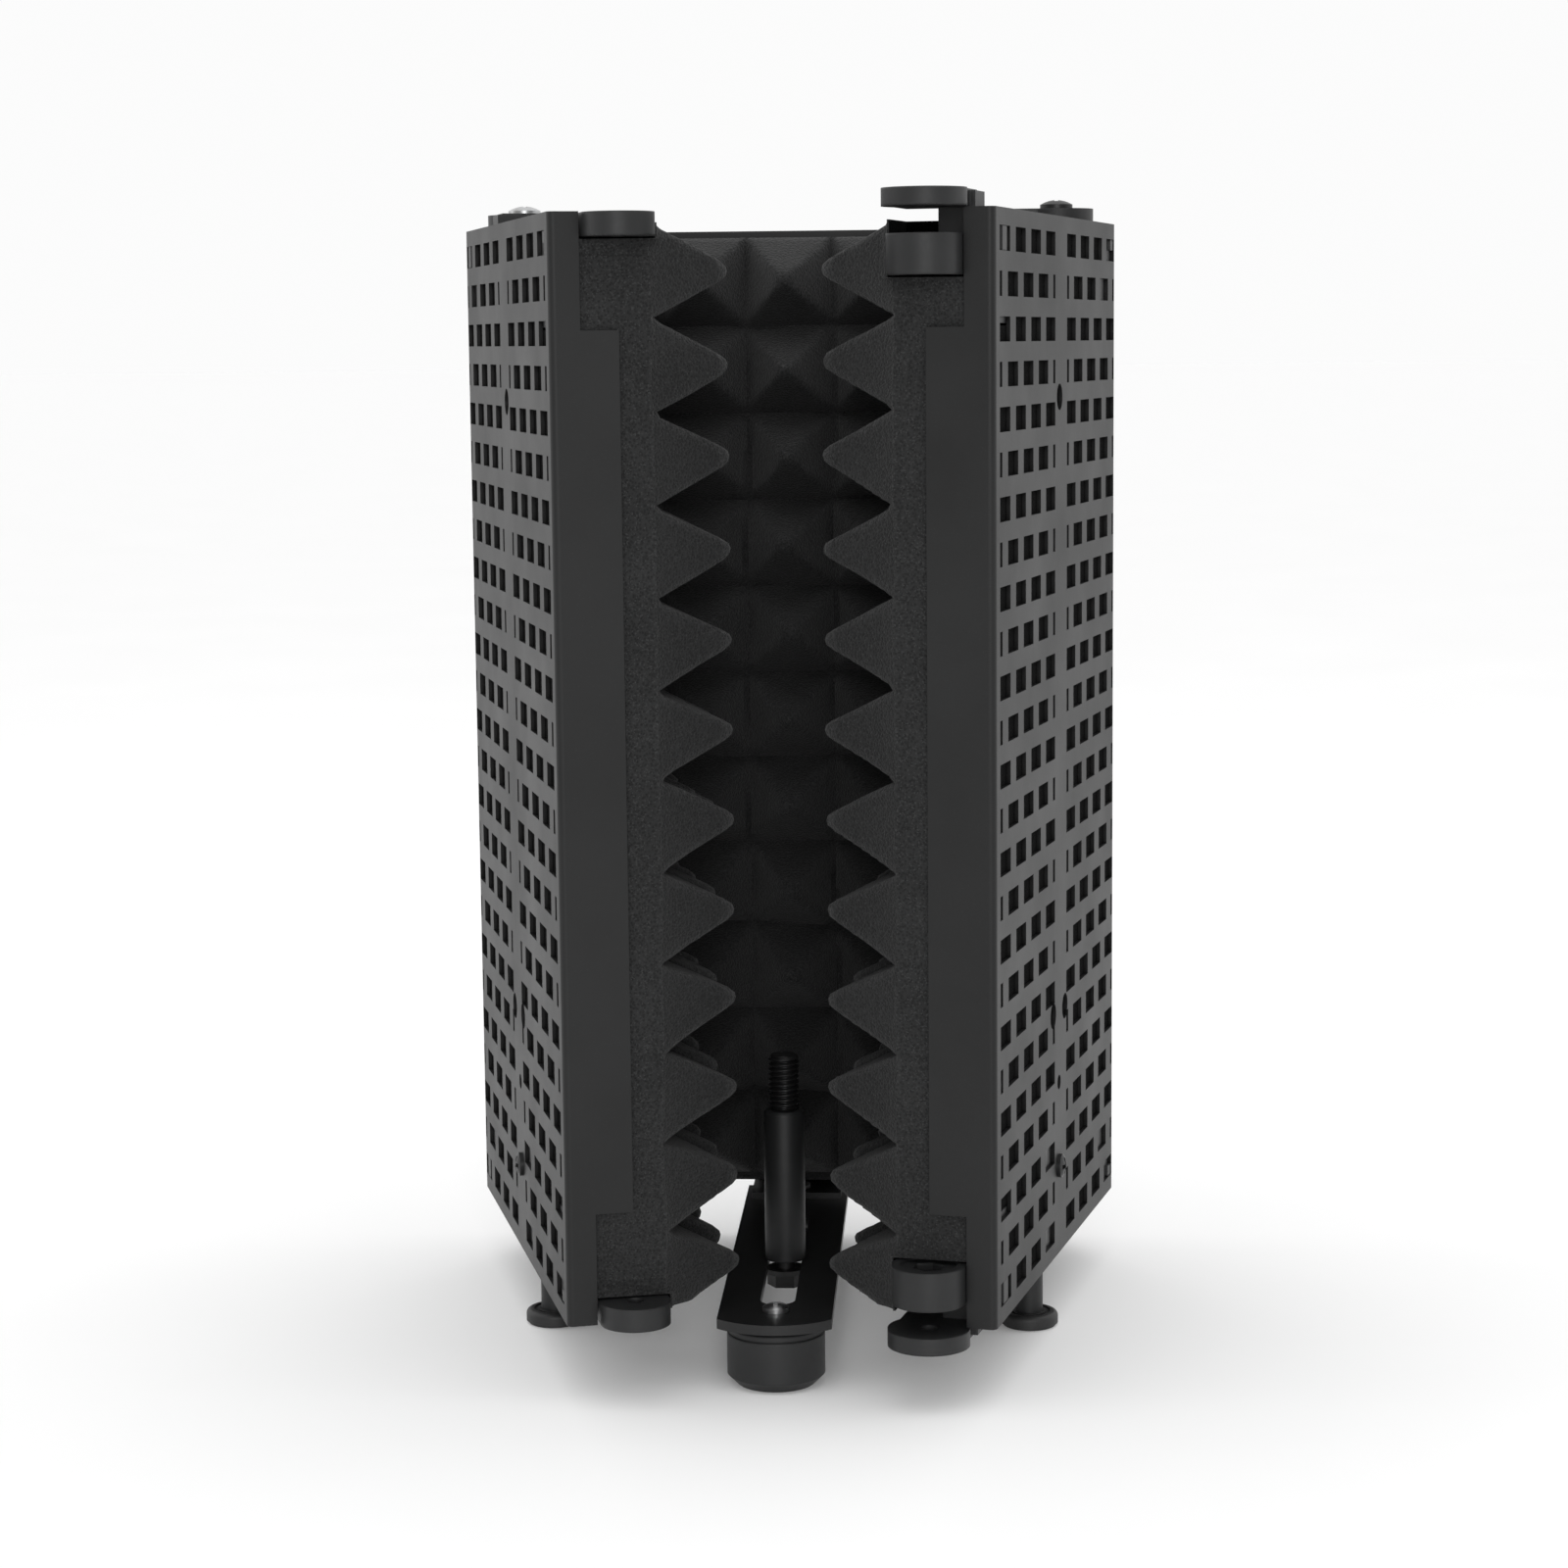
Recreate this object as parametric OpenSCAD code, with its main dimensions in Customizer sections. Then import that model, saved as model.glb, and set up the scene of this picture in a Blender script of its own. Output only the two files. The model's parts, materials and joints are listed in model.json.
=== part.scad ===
// Folding three-panel microphone isolation shield, in millimetres.
// +Z is up, the foam faces -Y, and the origin is the mouth of the stand adapter's thread,
// in the plane that the adapter and the three rubber feet stand on.
// Each panel is drawn in its own frame: x across the panel, y = 0 in the plane of its two hinge
// axes with the perforated back towards +y, and z = 0 at its lower edge.

/* [Panels] */
// Width of one panel over its side flanges
panel_w = 172; // [160:1:180]
// Height of one panel
panel_h = 320; // [310:1:330]
// Depth of the folded side flanges
panel_d = 19.8; // [19:0.1:22]
// Thickness of the steel sheet
sheet = 1.2; // [0.8:0.1:1.5]
// Gap from a panel's side to its hinge axis
hinge_gap = 1.25; // [1:0.05:2]
// Fold of the left wing from flat, in degrees
left_fold = 105.8; // [0:0.1:106]
// Fold of the right wing from flat, in degrees
right_fold = 103.8; // [0:0.1:106]

/* [Perforation] */
// Rows of holes
hole_rows = 25; // [23:2:25]
// Distance between rows
hole_row_pitch = 12.63; // [12:0.01:12.7]
// Distance between holes along a row
hole_pitch = 20.2; // [19.6:0.1:20.2]
// Width of a hole
hole_w = 13; // [11:0.1:13]
// Height of a hole
hole_h = 7; // [6:0.1:7.2]
// Width of the plain band down the middle
band_w = 17; // [16:0.2:17.6]
// Width of one field of holes, on either side of the band
field_w = 73.6; // [70:0.1:73.6]
// How far a wing's holes are shifted towards its hinge
wing_shift = 2.2; // [0:0.1:2.4]
// Diameter of the round mounting holes in the band
band_hole_d = 8; // [5:0.1:8]

/* [Foam] */
// Depth of the foam from the panel's outer face to its tips
foam_depth = 53.8; // [48:0.1:54]
// Depth from the outer face to the valleys between the wedges
valley_depth = 29.8; // [26:0.1:32]
// Rows of pyramids on a wing
wing_rows = 12; // [11:1:12]
// Rows of pyramids on the centre panel
centre_rows = 11; // [10:1:11]
// Height of a row on a wing
wing_row_pitch = 26.5; // [26:0.1:27]
// Height of a row on the centre panel
centre_row_pitch = 28.3; // [28:0.1:29]
// Distance between columns of pyramids
column_pitch = 28; // [24:0.5:28]
// Angle of the bevel that lets the folded foam clear its neighbour
bevel_angle = 37; // [32:0.5:37]

/* [Hinges] */
// Radius of the tongue's round end
tongue_r = 10.25; // [9.5:0.05:10.3]
// Thickness of the tongue
tongue_t = 6.7; // [6:0.1:6.7]
// Radius of the fork's outer plate
fork_plate_r = 12; // [10.5:0.1:12.5]
// Thickness of the fork's outer plate
fork_plate_t = 5; // [4:0.1:6]
// Radius of the fork's thick cheek
cheek_r = 10.7; // [10:0.05:10.8]
// Thickness of the fork's thick cheek
cheek_t = 11.4; // [10:0.1:12]
// Depth from the panel's edge to the fork's cheek
fork_slot = 7.2; // [7.2:0.1:7.5]
// Diameter of the hinge screw
screw_d = 5; // [4:0.5:5]

/* [Mount] */
// Distance from the stand adapter to the hinge axes
reach = 147; // [146:1:150]
// Height of the panels' lower edge above the ground
ground = 23.5; // [22:0.5:26]
// Width of the slotted bar
bar_w = 34; // [30:1:36]
// Thickness of the slotted bar
bar_t = 3; // [2.5:0.1:3.5]
// Width of the bar's slot
slot_w = 10.5; // [9.5:0.5:11]
// Diameter of the microphone post
post_d = 12.7; // [12:0.1:14]
// Height of the microphone post
post_h = 47.7; // [40:0.1:50]
// Place of the microphone post along the bar
post_y = 58; // [21:1:100]
// Diameter of the stand adapter
adapter_d = 29.2; // [26:0.2:30]

/* [Feet] */
// Diameter of a rubber foot
foot_d = 18; // [16:0.5:20]
// Thickness of a rubber foot
foot_t = 4.5; // [4:0.1:6]
// Diameter of a foot's leg
leg_d = 8.5; // [8:0.1:9]

/* [Hidden] */
$fn = 64;

BLACK_STEEL = "#3a3b3e";
BLACK_PLASTIC = "#26282b";
FOAM_GREY = "#2f3033";
RUBBER = "#1c1d1f";
BRIGHT_STEEL = "#b9bcc0";

half_w = panel_w / 2;
axis_x = half_w + hinge_gap;
bend_r = 2;
field_x0 = band_w / 2;
field_x1 = field_x0 + field_w;
corner_hole_x = field_x0 + 3 * hole_pitch + hole_w / 2;
first_row_z = (panel_h - (hole_rows - 1) * hole_row_pitch) / 2;

// The flanges are cut away near their ends, to let the hinge lugs through
notch_h = 33;
strip_y = 11;

// Foam
foam_gap = 0.3;
foam_half = half_w - sheet - foam_gap;
bevel_start = 0.8;
foam_z0 = 3;
foam_z1 = panel_h - 3;
foam_back = panel_d - sheet;
tip_y = panel_d - foam_depth;
valley_y = panel_d - valley_depth;
bracket_w = 30;
bracket_t = 2;
bracket_h = 40;
wing_bracket_z = 0.3;
mount_bracket_z = -2;
leg_pin_h = 5;

// Lugs
lug_clear = 0.25;
plate_clear = 0.3;
hook_root = 3;
hook_edge = 6.2;
pin_clear = 0.05;
lug_inner_x = 65;
lug_column_x = 74.5;
lug_column_y = 3;
lug_back = foam_back - 0.1;
lug_h = 32;
lug_gap = 0.6;
cheek_recess_r = 8.2;
fork_neck_x = 76.5;
fork_neck_y0 = 1.4;
fork_neck_y1 = 12;
hook_w = 5.6;

// Screws
screw_head_d = 10.6;
screw_head_h = 3;
nut_af = 8;
nut_h = 4;
cross_w = 1.3;
cross_l = 5.2;

// Round holes of the plain band, measured from the lower edge
bracket_screw_z = 28;
small_hole_z = 54.5;
small_hole_d = 4.6;
pair_z = 77;
pair_x = 8.5;
upper_hole_z = 266;

leg_y = panel_d - 9.5;
plate_top = ground - 2;
bar_screw_y = reach - 8;
bar_rear_y = reach + 2;
bar_front_y = -16;
bar_nose_r = 24;
slot_y0 = 6;
slot_y1 = 107;
collar_t = 2.9;
adapter_chamfer = 3;
thread_r = 7.94;
thread_h = 10.5;
bolt_d = 6;
stud_r = 4.76;
stud_h = 17.5;

// ---------- placing ----------

// Puts a panel's own frame where that panel stands
module place(which) {
    if (which == "centre")
        translate([0, reach, ground]) children();
    if (which == "left")
        translate([-axis_x, reach, ground]) rotate([0, 0, left_fold])
            translate([-axis_x, 0, 0]) children();
    if (which == "right")
        translate([axis_x, reach, ground]) rotate([0, 0, -right_fold])
            translate([axis_x, 0, 0]) children();
}

// Turns a shape drawn for the panel's top end into the one at its bottom end
module at_end(top) {
    if (top)
        translate([0, 0, panel_h]) children();
    else
        mirror([0, 0, 1]) children();
}

module box(x0, x1, y0, y1, z0, z1) {
    translate([x0, y0, z0]) cube([x1 - x0, y1 - y0, z1 - z0]);
}

// ---------- panels ----------

// One hole of the brick pattern, cut off where it leaves its field
module brick(x, z) {
    x0 = max(x, field_x0);
    x1 = min(x + hole_w, field_x1);
    if (x1 - x0 > 1)
        translate([x0, z - hole_h / 2]) square([x1 - x0, hole_h]);
}

// True where a round hole takes the place of a narrow one of the pattern
function at_pair(row) = abs(first_row_z + row * hole_row_pitch - pair_z) < 2;

// Perforated back, drawn flat with the panel's z as its y
module perforated_back(shift) {
    difference() {
        translate([-half_w + bend_r, 0]) square([panel_w - 2 * bend_r, panel_h]);
        for (row = [0 : hole_rows - 1], side = [-1, 1])
            translate([shift, 0]) scale([side, 1])
                for (k = [at_pair(row) ? 1 : 0 : 4])
                    brick(field_x0 + (k - (row % 2) / 2) * hole_pitch,
                          first_row_z + row * hole_row_pitch);
        translate([0, bracket_screw_z]) circle(d = 4.4);
        translate([0, small_hole_z]) circle(d = small_hole_d);
        translate([0, upper_hole_z]) circle(d = band_hole_d);
        for (side = [-1, 1])
            translate([side * pair_x, pair_z]) circle(d = band_hole_d);
    }
}

// Rounded bend between the back and one side flange
module bend() {
    intersection() {
        difference() {
            circle(r = bend_r);
            circle(r = bend_r - sheet);
        }
        square(bend_r);
    }
}

module shell(shift) {
    color(BLACK_STEEL) {
        translate([0, panel_d, 0]) rotate([90, 0, 0])
            linear_extrude(sheet) perforated_back(shift);
        for (side = [-1, 1]) mirror([side < 0 ? 1 : 0, 0, 0]) {
            translate([half_w - bend_r, panel_d - bend_r, 0])
                linear_extrude(panel_h) bend();
            difference() {
                box(half_w - sheet, half_w, 0, panel_d - bend_r, 0, panel_h);
                box(half_w - 2 * sheet, half_w + 1, -1, strip_y, -1, notch_h);
                box(half_w - 2 * sheet, half_w + 1, -1, strip_y, panel_h - notch_h, panel_h + 1);
            }
        }
    }
}

// Side view of the foam: a slab with one ridge a row, from the top down
function row_outline(rows, pitch) = concat(
    [[foam_back, foam_z0 - pitch], [foam_back, foam_z1]],
    [for (i = [0 : rows - 1], p = [
        [valley_y, foam_z1 - i * pitch],
        [tip_y, foam_z1 - (i + 0.5) * pitch]]) p],
    [[valley_y, foam_z1 - rows * pitch], [valley_y, foam_z0 - pitch]]);

// View of the foam from above: a slab with one ridge a column, cut through the outer ones
function column_outline(shift) = concat(
    [[foam_half + 1, foam_back - 2], [foam_half - 1, foam_back],
     [-foam_half + 1, foam_back], [-foam_half - 1, foam_back - 2]],
    [for (i = [-4 : 3], p = [
        [(i - 0.5) * column_pitch + shift, valley_y],
        [i * column_pitch + shift, tip_y]]) p],
    [[3.5 * column_pitch + shift, valley_y]]);

// Wedge cut off along a hinge side, so two folded foams keep apart
module foam_bevel(side) {
    x0 = foam_half + 2;
    x1 = foam_half - 50;
    y0 = -bevel_start + 2 * tan(bevel_angle);
    y1 = -bevel_start - 50 * tan(bevel_angle);
    mirror([side < 0 ? 1 : 0, 0, 0])
        translate([0, 0, -1]) linear_extrude(panel_h + 2)
            polygon([[x0, y0], [x1, y1], [x0, y1]]);
}

// Room in one corner of the foam for a lug, and for a fork's cheek where one turns there
module lug_room(cheek) {
    x0 = lug_inner_x - 0.4;
    y1 = panel_d;
    box(x0, half_w, -tongue_r - lug_gap, y1, -tongue_t - lug_clear - lug_gap, 1);
    box(x0, lug_column_x + 0.4, lug_column_y - 0.4, y1, -lug_h - lug_gap, 1);
    box(x0, half_w, lug_back - hook_root - 0.4, y1, -first_row_z - hole_h / 2 - 0.4, 1);
    if (cheek)
        box(lug_column_x - 1.4, half_w, -cheek_r - lug_gap, y1, -fork_slot - cheek_t - lug_gap, 1);
}

module foam(rows, pitch, shift, sides, cheeks) {
    color(FOAM_GREY) difference() {
        intersection() {
            translate([-foam_half, 0, 0]) rotate([90, 0, 90])
                linear_extrude(2 * foam_half) polygon(row_outline(rows, pitch));
            translate([0, 0, foam_z0]) linear_extrude(foam_z1 - foam_z0)
                polygon(column_outline(shift));
        }
        for (side = sides) foam_bevel(side);
        for (side = [-1, 1], top = [true, false])
            at_end(top) mirror([side < 0 ? 1 : 0, 0, 0])
                lug_room(len(search(side, cheeks)) > 0);
        box(-bracket_w / 2 - 1, bracket_w / 2 + 1, foam_back - bracket_t - 2.5, panel_d, 0, bracket_h + 1);
        box(-bracket_w / 2 - 1, bracket_w / 2 + 1, 2, panel_d, 0, 7);
        box(-5.5, 5.5, foam_back - bracket_t - 6, panel_d, bracket_screw_z - 5.5, bracket_screw_z + 5.5);
    }
}

module centre_foam() {
    foam(centre_rows, centre_row_pitch, 0, [-1, 1], [-1, 1]);
}

module wing_foam(sides, cheeks) {
    foam(wing_rows, wing_row_pitch, column_pitch / 2, sides, cheeks);
}

// ---------- hinge lugs, drawn for the top end with z = 0 at the panel's edge ----------

// Column of a lug, sunk in a pocket behind the foam
module lug_body(side, z_top) {
    mirror([side < 0 ? 1 : 0, 0, 0])
        box(lug_inner_x, lug_column_x, lug_column_y, lug_back, -lug_h, z_top);
}

// A flat ear from the lug's body to its round end on the hinge axis
module ear(side, r, z0, z1) {
    w = min(r, tongue_r);
    mirror([side < 0 ? 1 : 0, 0, 0]) {
        translate([axis_x, 0, z0]) cylinder(r = r, h = z1 - z0);
        box(lug_inner_x + 2, axis_x, -w, w, z0, z1);
    }
}

// Arm behind the sheet that carries a lug's hook; the hook fills part of the corner hole
module hook_arm(side, x1) {
    mirror([side < 0 ? 1 : 0, 0, 0])
        box(lug_inner_x, x1, lug_back - hook_root, lug_back,
            -first_row_z - hole_h / 2, -first_row_z + hole_h / 2);
}

module pin_bore(side, z0, z1) {
    translate([side * axis_x, 0, z0]) cylinder(d = screw_d + 2 * pin_clear, h = z1 - z0);
}

module tongue_lug(top, shift) {
    x = corner_hole_x - shift;
    color(BLACK_PLASTIC) at_end(top) difference() {
        union() {
            lug_body(-1, -lug_clear);
            ear(-1, tongue_r, -lug_clear - tongue_t, -lug_clear);
            hook_arm(-1, x + hook_edge);
            box(-x - hook_edge, -x - 1.5, lug_back - 1, panel_d - 0.3,
                -first_row_z, -first_row_z + hole_h / 2 - 0.1);
        }
        pin_bore(-1, -tongue_t - 2, 1);
    }
}

module fork_lug(top, shift) {
    x = corner_hole_x + shift;
    cheek_z1 = -fork_slot;
    cheek_z0 = cheek_z1 - cheek_t;
    color(BLACK_PLASTIC) at_end(top) difference() {
        union() {
            lug_body(1, -lug_clear);
            box(lug_inner_x, fork_neck_x, fork_neck_y0, fork_neck_y1,
                cheek_z1 - 0.2, plate_clear + fork_plate_t - 0.5);
            ear(1, fork_plate_r, plate_clear, plate_clear + fork_plate_t);
            translate([axis_x, 0, cheek_z0]) cylinder(r = cheek_r, h = cheek_t);
            box(lug_column_x - 1, axis_x, lug_column_y, cheek_r, cheek_z0, cheek_z1);
            hook_arm(1, x + hook_w / 2);
            box(x - hook_w / 2, x + hook_w / 2, lug_back - 1, panel_d - 0.1,
                -first_row_z - hole_h / 2 + 0.1, -first_row_z + hole_h / 2 - 0.1);
        }
        pin_bore(1, cheek_z0 - 1, plate_clear + fork_plate_t + 1);
        translate([axis_x, 0, cheek_z0 - 1])
            cylinder(d = (nut_af + 0.3) / cos(30), h = nut_h + 1, $fn = 6);
        translate([axis_x, 0, cheek_z0 - 1]) cylinder(r = cheek_recess_r, h = 1.8);
    }
}

// ---------- fasteners ----------

// Cross recess of a pan head, its top at z = 0
module cross_recess() {
    for (a = [0, 90]) rotate([0, 0, a])
        translate([-cross_l / 2, -cross_w / 2, -1.8]) cube([cross_l, cross_w, 3]);
}

// Pan head with a domed top, standing on z = 0
module pan_head(d, h) {
    dome = (d * d / 4 + h * h / 4) / h;
    difference() {
        intersection() {
            cylinder(d = d, h = h);
            translate([0, 0, h - dome]) sphere(r = dome, $fn = 96);
        }
        translate([0, 0, h]) cross_recess();
    }
}

// The two screws of one hinge, drawn in the frame of the panel that has the fork
module hinge_screws() {
    head_z = plate_clear + fork_plate_t;
    shank = head_z + fork_slot + cheek_t - 0.6;
    color(BRIGHT_STEEL) for (top = [true, false]) at_end(top)
        translate([axis_x, 0, head_z]) {
            pan_head(screw_head_d, screw_head_h);
            translate([0, 0, -shank]) cylinder(d = screw_d, h = shank + 0.5);
        }
}

module hinge_nuts() {
    color(BRIGHT_STEEL) for (top = [true, false]) at_end(top)
        translate([axis_x, 0, -fork_slot - cheek_t])
            difference() {
                cylinder(d = nut_af / cos(30), h = nut_h - 0.1, $fn = 6);
                translate([0, 0, -1]) cylinder(d = screw_d + 2 * pin_clear, h = nut_h + 2);
            }
}

// Screw through the back into a foot bracket, drawn in the panel's frame
module bracket_screw() {
    color(BLACK_STEEL) translate([0, panel_d, bracket_screw_z]) rotate([-90, 0, 0]) {
        pan_head(7.4, 2.2);
        translate([0, 0, -sheet - bracket_t - 1.8]) cylinder(d = 4, h = sheet + bracket_t + 2);
    }
}

// ---------- feet ----------

// Angle bracket behind the foam that carries a leg; its toe reaches forward to toe_y
module angle_bracket(toe_y, z0) {
    color(BLACK_STEEL) difference() {
        union() {
            box(-bracket_w / 2, bracket_w / 2, foam_back - bracket_t, foam_back, z0, bracket_h);
            box(-bracket_w / 2, bracket_w / 2, toe_y, foam_back, z0, z0 + bracket_t);
            translate([0, leg_y, z0]) cylinder(d = 10, h = leg_pin_h);
            translate([0, foam_back - bracket_t + 0.5, bracket_screw_z]) rotate([90, 0, 0])
                cylinder(d = 7, h = 1.9);
        }
        translate([0, leg_y, z0 - 1]) cylinder(d = 6 + 2 * pin_clear, h = 9);
        translate([0, panel_d, bracket_screw_z]) rotate([90, 0, 0])
            cylinder(d = 4 + 2 * pin_clear, h = 10);
        if (toe_y < 0)
            translate([0, -8, -3]) cylinder(d = 5 + 2 * pin_clear, h = 5);
    }
}

// Leg under a bracket whose lower face is at z0, with a pin up into the bracket
module foot_leg(z0) {
    color(BLACK_PLASTIC) translate([0, leg_y, 0]) {
        translate([0, 0, -ground + 2]) cylinder(d = leg_d, h = ground - 2 + z0);
        translate([0, 0, z0 - 0.5]) cylinder(d = 6, h = leg_pin_h);
    }
}

// Rubber disc with a rounded rim and a shallow ring round the leg
module foot_pad() {
    r = foot_d / 2;
    edge = 1.6;
    hole_r = leg_d / 2 + pin_clear;
    color(RUBBER) translate([0, leg_y, -ground]) rotate_extrude() difference() {
        union() {
            square([r - edge, foot_t]);
            translate([0, 0.8]) square([r, foot_t - edge - 0.8]);
            translate([0, 0]) square([r - 0.8, 1]);
            translate([r - edge, foot_t - edge]) circle(r = edge);
        }
        translate([-1, 2]) square([hole_r + 1, foot_t]);
        translate([hole_r + 1.2, foot_t - 0.5]) square([1.1, 1]);
        translate([-foot_d, -1]) square([foot_d, foot_t + 2]);
    }
}

// ---------- bar, adapter and microphone post ----------

module slot_shape() {
    translate([0, slot_y0 + slot_w / 2]) circle(d = slot_w);
    translate([0, slot_y1 - slot_w / 2]) circle(d = slot_w);
    translate([-slot_w / 2, slot_y0 + slot_w / 2]) square([slot_w, slot_y1 - slot_y0 - slot_w]);
}

module slotted_bar() {
    color(BLACK_STEEL) translate([0, 0, plate_top - bar_t]) linear_extrude(bar_t) difference() {
        intersection() {
            translate([-bar_w / 2, bar_front_y]) square([bar_w, bar_rear_y - bar_front_y]);
            union() {
                translate([0, bar_front_y + bar_nose_r]) circle(r = bar_nose_r, $fn = 128);
                translate([-bar_w, bar_front_y + bar_nose_r])
                    square([2 * bar_w, bar_rear_y - bar_front_y]);
            }
        }
        slot_shape();
        circle(d = 5 + 2 * pin_clear);
        translate([0, bar_screw_y]) circle(d = 5 + 2 * pin_clear);
    }
}

// Screw that holds the bar under the toe of the mount bracket
module bar_screw() {
    color(BRIGHT_STEEL) translate([0, bar_screw_y, plate_top + bracket_t]) {
        pan_head(9, 2.2);
        translate([0, 0, -bracket_t - bar_t - 4.6]) cylinder(d = 5, h = bracket_t + bar_t + 4.8);
    }
}

module bar_nut() {
    color(BRIGHT_STEEL) translate([0, bar_screw_y, plate_top - bar_t - nut_h]) difference() {
        cylinder(d = nut_af / cos(30), h = nut_h, $fn = 6);
        translate([0, 0, -1]) cylinder(d = 5 + 2 * pin_clear, h = nut_h + 2);
    }
}

collar_z1 = plate_top - bar_t;
adapter_h = collar_z1 - collar_t;

// Ring between the bar and the adapter, with a narrow neck under the bar
module adapter_collar() {
    r = adapter_d / 2 - 0.4;
    color(BLACK_PLASTIC) translate([0, 0, adapter_h]) rotate_extrude() polygon([
        [2.5 + pin_clear, 0], [r, 0], [r, collar_t - 1.3], [r - 0.4, collar_t - 0.9],
        [r - 1.2, collar_t - 0.9], [r - 1.2, collar_t], [2.5 + pin_clear, collar_t]]);
}

module stand_adapter() {
    r = adapter_d / 2;
    color(BLACK_PLASTIC) rotate_extrude() difference() {
        polygon([[0, 0], [r - adapter_chamfer, 0], [r, adapter_chamfer], [r, adapter_h - 0.3],
                 [r - 0.3, adapter_h], [0, adapter_h]]);
        translate([-1, -1]) square([thread_r + 1, thread_h + 1]);
        translate([-1, 0]) square([2.5 + pin_clear + 1, adapter_h + 1]);
    }
}

module adapter_screw() {
    shank = bar_t + collar_t + 4;
    color(BRIGHT_STEEL) translate([0, 0, plate_top]) {
        pan_head(8, 2.4);
        translate([0, 0, -shank]) cylinder(d = 5, h = shank + 0.5);
    }
}

module mic_post() {
    r = post_d / 2;
    color(BLACK_PLASTIC) translate([0, post_y, plate_top]) rotate_extrude() difference() {
        polygon([[0, 0], [r, 0], [r, post_h - 0.8], [r - 0.8, post_h], [0, post_h]]);
        translate([-1, -1]) square([bolt_d / 2 + pin_clear + 1, 13]);
        translate([-1, post_h - 10]) square([bolt_d / 2 + pin_clear + 1, 11]);
    }
}

module mic_stud() {
    color(BLACK_STEEL) translate([0, post_y, plate_top + post_h]) rotate_extrude()
        polygon([[0, -9.5], [bolt_d / 2, -9.5], [bolt_d / 2, 0], [stud_r, 0], [stud_r, stud_h - 6.6],
                 [stud_r - 0.6, stud_h - 6.6], [stud_r - 0.6, stud_h - 5.8], [stud_r, stud_h - 5.8],
                 [stud_r, stud_h - 0.8], [stud_r - 0.8, stud_h], [0, stud_h]]);
}

washer_d = 12.5;
washer_t = 1.5;

module post_washer() {
    color(BLACK_STEEL) translate([0, post_y, plate_top - bar_t - washer_t]) difference() {
        cylinder(d = washer_d, h = washer_t);
        translate([0, 0, -1]) cylinder(d = bolt_d + 2 * pin_clear, h = washer_t + 2);
    }
}

module post_bolt() {
    head_z = plate_top - bar_t - washer_t;
    color(BLACK_STEEL) translate([0, post_y, head_z]) {
        translate([0, 0, -4]) cylinder(d = 10 / cos(30), h = 4, $fn = 6);
        translate([0, 0, -0.5]) cylinder(d = bolt_d, h = washer_t + bar_t + 11.5);
    }
}

// ---------- nodes ----------

place("centre") shell(0);  // centre_shell
place("left") shell(wing_shift);  // left_shell
place("right") shell(-wing_shift);  // right_shell
place("centre") centre_foam();
place("left") wing_foam([1], [1]);  // left_foam
place("right") wing_foam([-1], [-1, 1]);  // right_foam
place("centre") tongue_lug(true, 0);  // centre_top_tongue
place("centre") tongue_lug(false, 0);  // centre_bottom_tongue
place("centre") fork_lug(true, 0);  // centre_top_fork
place("centre") fork_lug(false, 0);  // centre_bottom_fork
place("left") tongue_lug(true, wing_shift);  // left_top_tongue
place("left") tongue_lug(false, wing_shift);  // left_bottom_tongue
place("left") fork_lug(true, wing_shift);  // left_top_fork
place("left") fork_lug(false, wing_shift);  // left_bottom_fork
place("right") tongue_lug(true, -wing_shift);  // right_top_tongue
place("right") tongue_lug(false, -wing_shift);  // right_bottom_tongue
place("right") fork_lug(true, -wing_shift);  // right_top_fork
place("right") fork_lug(false, -wing_shift);  // right_bottom_fork
place("left") hinge_screws();  // left_hinge_screws
place("left") hinge_nuts();  // left_hinge_nuts
place("centre") hinge_screws();  // right_hinge_screws
place("centre") hinge_nuts();  // right_hinge_nuts
place("centre") angle_bracket(-16, mount_bracket_z);  // mount_bracket
place("left") angle_bracket(3, wing_bracket_z);  // left_foot_bracket
place("right") angle_bracket(3, wing_bracket_z);  // right_foot_bracket
place("centre") bracket_screw();  // centre_bracket_screw
place("left") bracket_screw();  // left_bracket_screw
place("right") bracket_screw();  // right_bracket_screw
place("centre") foot_leg(mount_bracket_z);  // centre_foot_leg
place("left") foot_leg(wing_bracket_z);  // left_foot_leg
place("right") foot_leg(wing_bracket_z);  // right_foot_leg
place("centre") foot_pad();  // centre_foot_pad
place("left") foot_pad();  // left_foot_pad
place("right") foot_pad();  // right_foot_pad
slotted_bar();
bar_screw();
bar_nut();
adapter_collar();
stand_adapter();
adapter_screw();
mic_post();
mic_stud();
post_washer();
post_bolt();
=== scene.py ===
import json
import math

import bmesh
import bpy
from mathutils import Matrix, Vector, noise


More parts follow.
